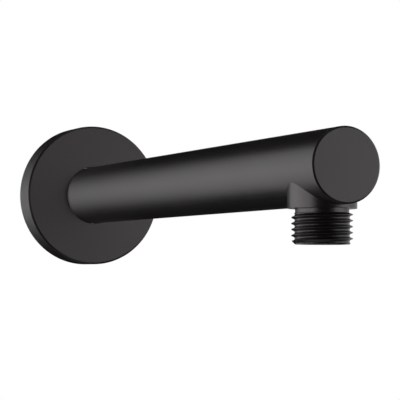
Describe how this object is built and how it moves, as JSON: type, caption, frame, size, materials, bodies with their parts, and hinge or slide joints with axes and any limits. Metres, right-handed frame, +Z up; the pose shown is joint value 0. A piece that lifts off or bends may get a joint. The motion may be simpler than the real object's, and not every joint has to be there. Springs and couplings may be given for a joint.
{
  "type": "shower arm",
  "caption": "Straight round wall shower arm in matt black, with a flat round escutcheon, a flat closed end and a male pipe thread outlet that points down.",
  "frame": {"origin": "on the tube's axis in the plane of the wall, which the escutcheon's back rim lies on", "axes": "+X along the arm away from the wall, +Z up, the outlet points along -Z"},
  "size_m": [0.258, 0.064, 0.064],
  "materials": {
    "arm_paint": "matt black paint on brass",
    "escutcheon_paint": "matt black paint on brass",
    "ring_rubber": "plain black rubber"
  },
  "bodies": {
    "root": {"arm_tube": "arm_paint", "end_cap": "arm_paint", "outlet_spigot": "arm_paint", "wall_nipple": "arm_paint", "escutcheon": "escutcheon_paint", "escutcheon_grip_ring": "ring_rubber"}
  },
  "joints": []
}
